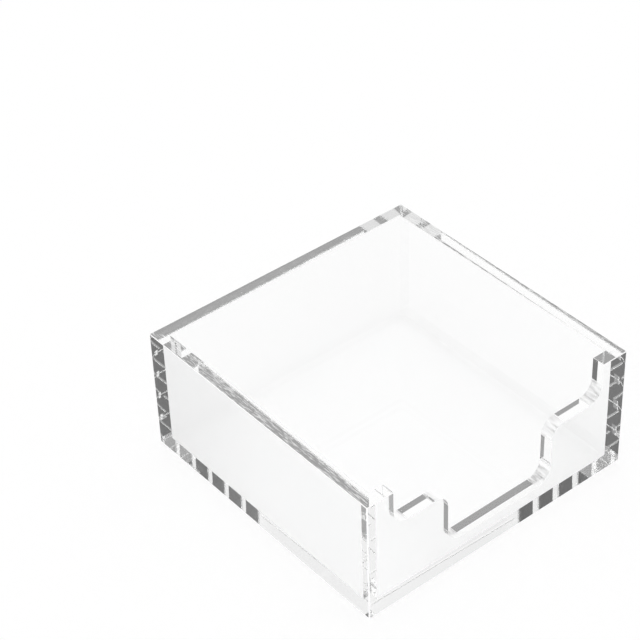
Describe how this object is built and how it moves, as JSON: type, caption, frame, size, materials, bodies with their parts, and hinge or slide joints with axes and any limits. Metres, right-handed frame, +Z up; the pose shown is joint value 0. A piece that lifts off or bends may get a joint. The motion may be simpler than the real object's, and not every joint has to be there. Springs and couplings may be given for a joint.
{
  "type": "memo pad holder",
  "caption": "Square open-topped tray of clear acrylic for loose note sheets, with a stepped finger cut-out in its front wall.",
  "frame": {"origin": "middle of the underside, on the surface that the tray stands on", "axes": "+Z up, +X to the right along the front wall, the front wall with the finger cut-out faces -Y"},
  "size_m": [0.0888, 0.0888, 0.0381],
  "materials": {
    "clear_acrylic": "clear, polished faces and edges"
  },
  "bodies": {
    "root": {"base_panel": "clear_acrylic", "left_wall": "clear_acrylic", "right_wall": "clear_acrylic", "back_wall": "clear_acrylic", "front_wall": "clear_acrylic"}
  },
  "joints": []
}
